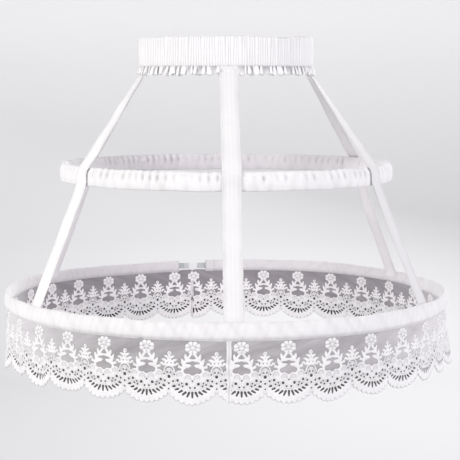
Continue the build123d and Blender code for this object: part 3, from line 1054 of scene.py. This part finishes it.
def leaf(x, y, start, end, wide, curve):
    """A pointed leaf from its stem to its tip, bent sideways by curve."""
    run_x, run_y = end[0] - start[0], end[1] - start[1]
    size = hypot(run_x, run_y)
    t = ((x - start[0]) * run_x + (y - start[1]) * run_y) / size ** 2
    s = (-(x - start[0]) * run_y + (y - start[1]) * run_x) / size
    inside = np.clip(t, 0, 1)
    s = s - curve * size * 4 * inside * (1 - inside)
    past = np.maximum(np.maximum(-t, t - 1), 0) * size
    swell = np.sin(pi * np.clip(inside * 0.92 + 0.06, 0, 1)) ** 0.7
    return np.hypot(np.abs(s), past) - wide * swell


def petals():
    """Middles of the petals round the flower: a circle drawn wider than tall."""
    turns = [radians(180 / PETAL_COUNT + 360 / PETAL_COUNT * k) for k in range(PETAL_COUNT)]
    return [(6.7 * sin(turn), FLOWER + 4.6 * cos(turn)) for turn in turns]


def flower(x, y):
    """Eight petals round a middle."""
    shape = disc(x, y, 0, FLOWER, 7.0, 5.2)
    for at_x, at_y in petals():
        shape = np.minimum(shape, disc(x, y, at_x, at_y, 3.1, 2.9))
    return shape


def boughs(x, y):
    """Two stems that part below the flower: leaves stand outside them, a bow ties them."""
    hollow = -disc(x, y, 0, -35.0, 11.4, 4.5)
    shapes = [
        disc(x, y, 0.0, -14.6, 2.2, 1.7),
        stroke(x, y, (1.4, -14.2), (9.4, -25.0), 1.45),
        stroke(x, y, (9.4, -25.0), (12.2, -31.6), 1.45),
        stroke(x, y, (12.2, -31.6), (12.6, -38.0), 1.5),
        np.maximum(np.abs(y + 35.2) - 4.6, np.maximum(x - 12.6, hollow)),
        leaf(x, y, (8.3, -23.0), (9.5, -15.2), 1.75, 0.05),
        leaf(x, y, (10.9, -30.4), (13.9, -20.4), 1.95, 0.06),
        leaf(x, y, (12.4, -31.6), (17.9, -28.2), 1.3, -0.08),
        leaf(x, y, (10.4, -24.2), (-1.6, -22.2), 1.75, -0.05),
        leaf(x, y, (11.4, -29.2), (1.7, -28.3), 2.15, 0.02),
        stroke(x, y, (12.6, -32.0), (17.6, -31.0), 0.7, 0.6),
    ]
    return np.minimum.reduce(shapes)


def spray(x, y):
    """A pyramid of leaves under a bead, halfway between two flowers."""
    s = HALF - x
    side = ((s - 0.9) * 11.7 + (y + 17.6) * 8) / 14.2
    shapes = [
        np.abs(np.hypot(s, y + 14.9) - 1.65) - 0.85,
        np.maximum(side, -29.8 - y),
        leaf(s, y, (0.4, -21.4), (6.6, -17.9), 1.45, 0.10),
        leaf(s, y, (2.8, -25.4), (10.0, -22.2), 1.65, 0.10),
        leaf(s, y, (4.2, -29.2), (12.1, -26.6), 1.65, 0.08),
    ]
    return np.minimum.reduce(shapes)


def hem_edge(x, y):
    """Inside the scallops, whose edge is a row of small round lobes."""
    down = np.maximum(HEM_CENTRE - y, 1e-6)
    turn = np.degrees(np.arctan2(x, down))
    lobe = LOBE_DEPTH * (np.abs(np.cos(np.radians(turn / HEM_LOBE * 180))) ** 0.65 - 1)
    return np.where(y < HEM_CENTRE, np.hypot(x, down) - HEM_ARC - lobe, x - HALF - 5)


def slots(x, y):
    """A fan of long openings above the hem, longest in the middle and leaning at the sides."""
    shapes = []
    for step in range(6):
        turn = radians(step * SLOT_STEP)
        lean = turn + 0.3 * min(step, 2)
        far = 4.0 - 1.6 * (step / 5) ** 1.5
        wide = 1.35 - 0.2 * step / 5
        middle = (sin(turn) * FAN_ARC, FAN_CENTRE - cos(turn) * FAN_ARC)
        ends = [(middle[0] + side * sin(lean) * (far - wide),
                 middle[1] - side * cos(lean) * (far - wide)) for side in (-1, 1)]
        shapes.append(stroke(x, y, ends[0], ends[1], wide * 1.1, wide * 0.8))
    return np.minimum.reduce(shapes)


def round_openings(x, y, places):
    """Small round holes."""
    return np.minimum.reduce([disc(x, y, *place) for place in places])


def crescent(x, y):
    """The curved opening under the rim of the large ring."""
    at_x, at_y, size = RINGS[-1]
    return np.maximum(np.abs(np.hypot(x - at_x, y - at_y) - size + 2.3) - 0.72, at_y + 1.8 - y)


def openings(x, y):
    """Every hole in the border."""
    return np.minimum.reduce([slots(x, y), round_openings(x, y, EYELETS), crescent(x, y)])


def border_top(x):
    """Height of the border's upper edge between its rings."""
    return -39.9 + 6.0 * (x / HALF) ** 2


def border(x, y):
    """The solid border: everything below its upper edge, and the rings that stand over it."""
    rings = [disc(x, y, *ring) for ring in RINGS]
    return np.minimum.reduce([y - border_top(x), *rings])


def embroidery_shape(x, y):
    """All embroidered cloth: motifs and border, cut by the openings and the hem."""
    motifs = np.minimum.reduce([flower(x, y), boughs(x, y), spray(x, y)])
    motifs = np.maximum(motifs, -round_openings(x, y, MOTIF_EYELETS))
    whole = np.maximum(np.minimum(motifs, border(x, y)), -openings(x, y))
    return np.maximum(whole, hem_edge(x, y))


def ridge(distance, wide):
    """A rounded cord where distance is near 0."""
    return np.exp(-(distance / wide) ** 2)


def petal_rise(x, y):
    """How far a point lies up the nearest petal, from 0 between them to 1 at its middle."""
    rise = [1 - np.hypot((x - at_x * 0.95) / 3.0, (y - at_y) / 2.7) for at_x, at_y in petals()]
    return np.clip(np.maximum.reduce(rise), 0, 1)


def embroidery_relief(x, y):
    """Height of the stitching: padded shapes, cords round rings, slots and hem, in mm."""
    edge = np.clip(-embroidery_shape(x, y) / 1.2, 0, 1)
    knot = np.hypot(x, y - FLOWER)
    relief = edge ** 0.5 * 0.4 + 0.65 * petal_rise(x, y) ** 0.6
    relief += 0.4 * ridge(knot - 2.3, 0.7) + 0.45 * ridge(knot, 1.0)
    for at_x, at_y, size in RINGS:
        from_ring = np.hypot(x - at_x, y - at_y)
        arch = np.clip((y - at_y + 3.5) / 2, 0, 1)
        relief += 0.5 * arch * (ridge(from_ring - size + 0.9, 0.8)
                                + 0.7 * ridge(from_ring - size + 3.3, 0.7))
    from_fan = np.hypot(x, y - FAN_CENTRE)
    low = np.clip((FAN_CENTRE - y) / 4 - 1, 0, 1)
    relief += 0.35 * low * (ridge(from_fan - FAN_ARC - 4.7, 0.7)
                            + ridge(from_fan - FAN_ARC + 4.7, 0.7))
    for at_x, at_y, size in EYELETS:
        relief += 0.3 * ridge(np.hypot(x - at_x, y - at_y) - size - 0.7, 0.6)
    turn = np.degrees(np.arctan2(x, np.maximum(HEM_CENTRE - y, 1)))
    spokes = np.cos(np.radians(turn / HEM_LOBE * 360))
    relief += 0.12 * low * spokes * np.clip((from_fan - FAN_ARC - 5) / 3, 0, 1)
    return relief


def embroidery_shade(x, y):
    """Where grooves between the stitched shapes lie in shade, from 0 to 1.

    Grooves run round the flower's middle and out between its petals, inside the rings' arches,
    round the small openings, and between the lobes of the hem, whose cord turns under.
    """
    knot = np.hypot(x, (y - FLOWER) * 1.25)
    turn = np.arctan2(x, (y - FLOWER) * 1.25)
    petal_part = np.clip((knot - 3.0) / 1.2, 0, 1) * (knot < 10.5)
    grooves = PETAL_COUNT / 2
    shade = 0.55 * petal_part * ridge(knot * np.sin(grooves * turn) / grooves, 0.55)
    shade += 0.42 * ridge(knot - 2.9, 0.7)
    for at_x, at_y, size in RINGS:
        from_ring = np.hypot(x - at_x, y - at_y)
        arch = np.clip((y - at_y + 2.5) / 2, 0, 1)
        shade += 0.46 * arch * ridge(from_ring - size + 2.1, 0.7)
        shade += 0.34 * arch * ridge(from_ring - size + 4.3, 0.6)
    turn = np.degrees(np.arctan2(x, np.maximum(HEM_CENTRE - y, 1)))
    from_hem = np.hypot(x, y - HEM_CENTRE) - HEM_ARC
    near_hem = np.clip((from_hem + 4.6) / 1.5, 0, 1) * (y < HEM_CENTRE)
    between_lobes = np.clip(0.30 - np.abs(np.cos(np.radians(turn / HEM_LOBE * 180))), 0, 1)
    shade += 1.6 * near_hem * between_lobes
    shade += 0.5 * near_hem * np.clip(1 + hem_edge(x, y) / 0.7, 0, 1)
    from_fan = np.hypot(x, y - FAN_CENTRE)
    low = np.clip((FAN_CENTRE - y) / 4 - 1, 0, 1)
    shade += 0.22 * low * ridge(from_fan - FAN_ARC + 5.7, 0.5)
    for at_x, at_y, size in EYELETS:
        shade += 0.18 * ridge(np.hypot(x - at_x, y - at_y) - size - 1.6, 0.5)
    return np.clip(shade, 0, 0.85)


def fold_repeat(run):
    """Distance from the nearest flower, for a distance in mm along the hem."""
    return np.abs(np.mod(run + HALF, 2 * HALF) - HALF)


# ------------------------------------------------------------------ lace on the hoop
class LaceLength:
    """One length of lace round part of the hoop.

    Its pattern starts at its first flower.  The repeats are sewn on a little closer at the
    front and back than at the sides: an angle is an even turn less a small sine of twice it.
    """

    def __init__(self, first_flower, repeat_turn, ease):
        repeats = np.linspace(-20, 20, 8001)
        even = first_flower + repeats * repeat_turn
        self.angle = even - ease * np.sin(np.radians(2 * even))
        self.run = repeats * LACE_REPEAT / MM

    def angle_at(self, run):
        """The angle at a distance in mm along the pattern."""
        return np.interp(run, self.run, self.angle)

    def run_at(self, angle):
        """The distance in mm along the pattern at an angle."""
        return np.interp(angle, self.angle, self.run)


LEFT_LACE = LaceLength(-9.59, 11.13, 1.05)
RIGHT_LACE = LaceLength(1.76, 10.98, 0.71)


def run_round(angle):
    """Distance along the pattern of whichever length of lace lies at this angle."""
    angle = np.mod(angle - BACK_SEAM, 360) + BACK_SEAM - 360
    return np.where(angle < FRONT_SEAM, LEFT_LACE.run_at(angle), RIGHT_LACE.run_at(angle))


def lace_point(length, run, y, out):
    """A point of the lace from its distance along the pattern, height and thickness, in mm.

    The wall leans out towards the hem, hangs in broad soft waves that grow downwards, and
    drifts up and down a little.  Slanting creases cross its middle, and one stretch of the hem
    on the +X side kicks outwards.
    """
    angle = length.angle_at(run)
    fall = np.clip(-y / DROP, 0, 1.2)
    around = angle / 360
    wave = whole_ripple(around, 9, 30, 41, 9) * 1.9 * MM * fall ** 1.4
    wave = wave + whole_ripple(around, 40, 80, 42, 7) * 0.35 * MM * fall
    crease = whole_ripple(around + y * 0.0011, 30, 95, 45, 9)
    crease = crease * np.sin(pi * np.clip(fall / 0.6, 0, 1))
    kick = 5.0 * MM * np.exp(-((np.mod(angle, 360) - 86) / 9) ** 2) * fall ** 2
    wave = wave + 0.35 * MM * crease + kick
    radius = LOWER_MIDDLE + LACE_FLARE * fall + wave + out * MM
    droop = whole_ripple(around, 8, 24, 43, 7) * 0.9 * MM * fall
    return round_hoop(radius, angle, LACE_TOP + y * MM + droop + hem_lift(angle))


CELL = 0.86
LONGEST_SLIDE = 0.45 * CELL
FLOWER_LOW = -13.2
FLOWER_HALF = 10.2


def embroidery(name, length, first_angle, last_angle, flower_past=0.0):
    """The embroidered layer between two angles, as one closed mesh of little cells.

    A grid of points covers the strip.  Cells whose middle lies inside the pattern are kept,
    and the points on the outline are slid onto it down the slope of the distance.  The front
    stands out by the relief, the back by less, and walls join them all round.  Over the last
    flower_past mm only the top is kept, so that a whole flower laps over the seam.
    """
    start, end = length.run_at(first_angle), length.run_at(last_angle) + flower_past
    columns, rows = int((end - start) / CELL), int((DROP + 1.0) / CELL)
    run = np.linspace(start, end, columns + 1)[None, :] + np.zeros((rows + 1, 1))
    y = np.linspace(-0.6, -DROP - 0.4, rows + 1)[:, None] + np.zeros((1, columns + 1))
    step = 0.05

    def outline(at, height):
        """Distance to the pattern's edge from points of the strip."""
        return embroidery_shape(fold_repeat(at), height)

    middle_run = (run[:-1, :-1] + run[1:, 1:]) / 2
    middle_y = (y[:-1, :-1] + y[1:, 1:]) / 2
    kept = outline(middle_run, middle_y) < 0
    kept &= (middle_run < end - flower_past) | (middle_y > FLOWER_LOW)
    padded = np.pad(kept, 1)
    count = (padded[:-1, :-1].astype(int) + padded[1:, :-1] + padded[:-1, 1:] + padded[1:, 1:])
    on_edge = (count > 0) & (count < 4)
    on_edge[:, 0] = on_edge[:, -1] = False
    edge_run, edge_y = run[on_edge], y[on_edge]
    for _ in range(2):
        value = outline(edge_run, edge_y)
        change_run = outline(edge_run + step, edge_y) - outline(edge_run - step, edge_y)
        change_y = outline(edge_run, edge_y + step) - outline(edge_run, edge_y - step)
        slope_run, slope_y = change_run / (2 * step), change_y / (2 * step)
        steep = np.maximum(slope_run ** 2 + slope_y ** 2, 0.25)
        edge_run = edge_run - np.clip(value * slope_run / steep, -LONGEST_SLIDE, LONGEST_SLIDE)
        edge_y = edge_y - np.clip(value * slope_y / steep, -LONGEST_SLIDE, LONGEST_SLIDE)
    run[on_edge], y[on_edge] = edge_run, edge_y

    relief = embroidery_relief(fold_repeat(run), y)
    relief = np.where((count > 0) & (count < 4), 0.10, relief)
    front = lace_point(length, run, y, 0.30 + relief)
    back = lace_point(length, run, y, -0.25 - 0.45 * relief)
    used = count.ravel() > 0
    number = np.cumsum(used) - 1
    total = int(used.sum())
    points = np.concatenate([front.reshape(-1, 3)[used], back.reshape(-1, 3)[used]])

    wide = columns + 1
    row, column = np.nonzero(kept)
    corner = [row * wide + column, row * wide + column + 1,
              (row + 1) * wide + column + 1, (row + 1) * wide + column]
    corner = number[np.stack(corner, -1)]
    faces = [corner[:, ::-1], corner + total]
    for (row_step, column_step), pair in {(-1, 0): (0, 1), (0, 1): (1, 2),
                                          (1, 0): (2, 3), (0, -1): (3, 0)}.items():
        open_side = ~padded[row + 1 + row_step, column + 1 + column_step]
        a, b = corner[open_side][:, pair[0]], corner[open_side][:, pair[1]]
        faces.append(np.stack([a, b, b + total, a + total], -1))
    flat_run = np.tile(run.ravel()[used], 2) * MM
    flat_y = np.tile(y.ravel()[used], 2) * MM
    uv = [np.stack([flat_run[block], flat_y[block]], -1) for block in faces]
    shade = embroidery_shade(fold_repeat(run), y).ravel()[used]
    piece = new_piece(name, points, faces, uv, np.tile(shade, 2))
    return dress(piece, floss, "lace_net")


NET_STEP = 4.0
NET_ROWS = 23
NET_RISE = 2.6


def net(name, length, first_angle, last_angle, node_name):
    """The sheer ground: a sheet down to the border's lower part, waved as the lace is.

    Where the casing is open its top edge rises towards the bone, with nothing to hold it.
    """
    start, end = length.run_at(first_angle), length.run_at(last_angle)
    columns = int((end - start) / NET_STEP)
    run = np.linspace(start, end, columns + 1)[None, :]
    x = fold_repeat(run)
    past = (apart(length.angle_at(run), GAP_ANGLE) - GAP_SWEEP / 2) / 0.3
    top = 0.5 + NET_RISE / (1 + np.exp(np.clip(past, -30, 30)))
    hem = HEM_CENTRE - np.sqrt(HEM_ARC ** 2 - x ** 2) + LOBE_DEPTH + 1.0
    share = np.linspace(0, 1, NET_ROWS)[:, None]
    y = top + (hem - top) * share
    run = run + 0 * y
    points = lace_point(length, run, y, 0.0)
    # painted shadow: the net behind the border carries full painted shade, and is made dark and
    # denser there
    behind_border = np.clip((border_top(fold_repeat(run)) - y) / 3, 0, 1)
    piece = surface(name, points, y[:, 0] * MM, run[0] * MM, painted_tone=behind_border)
    dress(piece, net_cloth, "lace_net", node_name)
    flat = (radians(last_angle - first_angle) * LOWER_MIDDLE, DROP * MM)
    area = flat[0] * (DROP - 0.35 * DEPTH) * MM


SEAM_ROWS = 60
SEAM_LOOP = 24


def lace_seam(name, angle, top, wide, seed):
    """A narrow turned seam down the lace: a flat folded strip, rounded and slightly wavy."""
    y = np.linspace(top, -DROP + 2.5, SEAM_ROWS)
    turn = np.linspace(0, 2 * pi, SEAM_LOOP + 1)[:-1]
    run = RIGHT_LACE.run_at(angle)
    across = np.sign(np.cos(turn)) * np.abs(np.cos(turn)) ** 0.6 * wide / 2
    groove = 1 - 0.6 * np.exp(-(across / 0.7) ** 2)
    deep = np.sin(turn) * 1.05 * groove
    bend = ripple(y, 18, 60, seed) * 0.45 * np.clip(-y / 30, 0, 1)
    proud = deep[None, :] + 0.3 + 0.35 * ripple(y, 12, 40, seed + 1)[:, None]
    points = lace_point(RIGHT_LACE, run + across[None, :] + bend[:, None],
                        y[:, None] + 0 * across[None, :], proud)
    # painted shade: darker down the groove in the seam's middle
    fold = 0.7 * np.exp(-(across / 0.75) ** 2)[None, :] + 0 * y[:, None]
    piece = surface(name, points, y * MM, np.linspace(0, 2 * wide, len(turn) + 1) * MM,
                    False, True, painted_tone=fold, cap=True)
    return dress(piece, tape_cloth, "lace_net")


def lace():
    """Both lengths of lace, each a net with two pieces of embroidery, and the two seams."""
    side_left, side_right = -90, 92
    left_first = BACK_SEAM - 360
    front_left = embroidery("embroidery_front_left", LEFT_LACE, side_left, FRONT_SEAM - 0.3)
    back_left = embroidery("embroidery_back_left", LEFT_LACE, left_first + 0.3, side_left)
    front_right = embroidery("embroidery_front_right", RIGHT_LACE, FRONT_SEAM + 0.3, side_right)
    back_right = embroidery("embroidery_back_right", RIGHT_LACE, side_right, BACK_SEAM - 0.3,
                            FLOWER_HALF)
    front_seam = lace_seam("lace_front_seam", FRONT_SEAM, 0.5, 6.0, 61)
    back_seam = lace_seam("lace_back_seam", BACK_SEAM, FLOWER_LOW + 1.5, 4.6, 64)
    net("lace_net_left", LEFT_LACE, left_first + 0.1, FRONT_SEAM - 0.1, "lace_left_half")
    net("lace_net_right", RIGHT_LACE, FRONT_SEAM + 0.1, BACK_SEAM - 0.1, "lace_right_half")


# ------------------------------------------------------------------ bones and their bindings
BINDING_ANGLE = GAP_ANGLE - 0.3
WOUND_RIDGE = 0.22 * MM


def bone_binding():
    """The binding round the lower bone's lapped ends: a flat sleeve with wound ridges."""
    low, high = span("lower_hoop_bone_wrap")
    middle = (low + high) / 2
    radius = hypot(middle[0], middle[1])
    half_deep, half_tall, half_long = 2.15 * MM, 6.4 * MM, 6.5 * MM
    along = np.linspace(-1, 1, 61)[:, None]
    turn = np.linspace(0, 2 * pi, 49)[None, :-1]
    wound = WOUND_RIDGE * np.abs(np.sin(5 * pi * along + turn / 2))
    pinch = 1 - np.abs(along) ** 12 * 0.25
    out = np.sign(np.cos(turn)) * np.abs(np.cos(turn)) ** 0.45 * half_deep
    up = np.sign(np.sin(turn)) * np.abs(np.sin(turn)) ** 0.45 * half_tall
    out = out * pinch + wound * np.cos(turn)
    up = up * pinch * (1 + 0.05 * np.sin(4 * along + 1)) + wound * np.sin(turn)
    angle = BINDING_ANGLE + np.degrees(along * half_long / radius)
    points = round_hoop(radius + out, angle, middle[2] + up)
    # painted shade: darker between the wound ridges
    fold = 0.35 * (1 - wound / WOUND_RIDGE) ** 2
    piece = surface("bone_binding", points, along[:, 0] * half_long, np.linspace(0, 30 * MM, 49),
                    False, True, flip=True, painted_tone=fold, cap=True)
    dress(piece, wrap_tape, "wrap_tape", "lower_hoop_bone_wrap")


def keep_frame_piece(name, material):
    """A frame node whose own shape is right, with its finish."""
    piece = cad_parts[name]
    piece.data.materials.clear()
    piece.data.materials.append(material)


# ------------------------------------------------------------------ put it together
waistband()
frill()
casings()
routes = {"tape_front": tape("tape_front", 0.0, 0.0, 71),
          "tape_back": tape("tape_back", *BACK_TAPE, 72)}
for order, (tape_name, (waist_angle, hoop_angle)) in enumerate(SIDE_TAPES.items()):
    routes[tape_name] = tape(tape_name, waist_angle, hoop_angle, 73 + order)
for tape_name, route in routes.items():
    tape_stitching(tape_name + "_stitches", route)
hoop_stitching("upper_casing_stitches", UPPER_HOOP, 0.60, 0.0, 360.0)
hoop_stitching("lower_casing_stitches", LOWER_HOOP, -0.82, GAP_LAST + 0.3, GAP_FIRST + 359.7)
lace()
bone_binding()
for bone_name in ("upper_hoop_bone", "lower_hoop_bone"):
    keep_frame_piece(bone_name, bone_plastic)
keep_frame_piece("upper_hoop_bone_wrap", wrap_tape)
keep_frame_piece("waist_elastic", elastic_cloth)

# ------------------------------------------------------------------ floor, light and camera
FLOOR_DROP = 0.62
SWEEP_FRONT, SWEEP_BACK, SWEEP_RISE = -6.0, 4.5, 6.0
SWEEP_BEND = 2.0
SWEEP_HALF_WIDE = 7.0


def backdrop():
    """A pale floor that curves up into a wall behind the object."""
    floor = LACE_BOTTOM - FLOOR_DROP
    turn = np.linspace(0, pi / 2, 25)
    curve_y = SWEEP_BACK - SWEEP_BEND + SWEEP_BEND * np.sin(turn)
    curve_z = floor + SWEEP_BEND - SWEEP_BEND * np.cos(turn)
    y = np.concatenate([[SWEEP_FRONT], curve_y, [SWEEP_BACK]])
    z = np.concatenate([[floor], curve_z, [floor + SWEEP_RISE]])
    x = np.array([-SWEEP_HALF_WIDE, SWEEP_HALF_WIDE])
    points = np.stack(np.broadcast_arrays(x[None, :], y[:, None], z[:, None]), -1)
    piece = surface("backdrop", points, y, x, flip=True)
    finish = Finish("pale paper")
    grain = finish.noise(3.0, 2.0)
    paper = finish.mix(grain, (0.925, 0.925, 0.935), (0.94, 0.94, 0.95))
    _, y, z = finish.place()
    # painted shade: the paper is darker over the floor and the foot of the wall, lighter higher up
    # the wall
    painted_floor_shade = ((y * -0.53 + 1.9).clipped() * 0.6 + (z * -1.1 + 0.25).clipped() * 0.7).clipped()
    finish.set("Base Color", finish.mix(painted_floor_shade, paper, (0.50, 0.50, 0.51)))
    finish.set("Roughness", 0.95)
    finish.set("Emission Color", (1.0, 1.0, 1.0, 1.0))
    finish.set("Emission Strength", 0.12)
    piece.data.materials.append(finish.material)


def area_light(name, place, aim, wide, power, colour):
    """A square soft light that faces aim."""
    data = bpy.data.lights.new(name, "AREA")
    data.energy, data.size, data.color = power, wide, colour
    light = bpy.data.objects.new(name, data)
    bpy.context.collection.objects.link(light)
    direction = np.array(aim) - np.array(place)
    flat = hypot(direction[0], direction[1])
    light.location = place
    turn = atan2(direction[1], direction[0]) - pi / 2
    light.rotation_euler = (atan2(flat, -direction[2]), 0.0, turn)


def lights():
    """A broad key from the front left, a fill, light from above and behind, a pale surround."""
    area_light("key", (-2.4, -1.7, 0.8), (0, 0, -0.28), 1.0, 64, (1.0, 0.99, 0.98))
    area_light("fill", (2.8, -1.9, 0.6), (0, 0, -0.25), 2.0, 72, (0.98, 0.97, 1.0))
    area_light("top", (0.3, 0.9, 2.8), (0, 0, -0.3), 2.0, 22, (1.0, 0.99, 1.0))
    area_light("back", (0.9, 3.0, 1.1), (0, 0, -0.28), 1.8, 60, (1.0, 0.99, 0.99))
    world = bpy.data.worlds.new("studio")
    world.use_nodes = True
    surround = world.node_tree.nodes["Background"]
    surround.inputs[0].default_value = (0.985, 0.98, 1.0, 1.0)
    surround.inputs[1].default_value = 0.48
    bpy.context.scene.world = world


def camera():
    """A long lens in front of the object, a little below its top and tilted down."""
    data = bpy.data.cameras.new("camera")
    data.sensor_width = 36.0
    data.lens = 109.7
    data.shift_x = 0.0084
    data.clip_start, data.clip_end = 0.05, 60
    view = bpy.data.objects.new("camera", data)
    bpy.context.collection.objects.link(view)
    distance, turn, tilt = 1.903, radians(-1.75), radians(6.06)
    view.location = (distance * sin(turn), -distance * cos(turn), -0.058)
    view.rotation_euler = (pi / 2 - tilt, 0.0, turn)
    bpy.context.scene.camera = view


backdrop()
lights()
camera()
bpy.context.scene.view_settings.view_transform = "Standard"
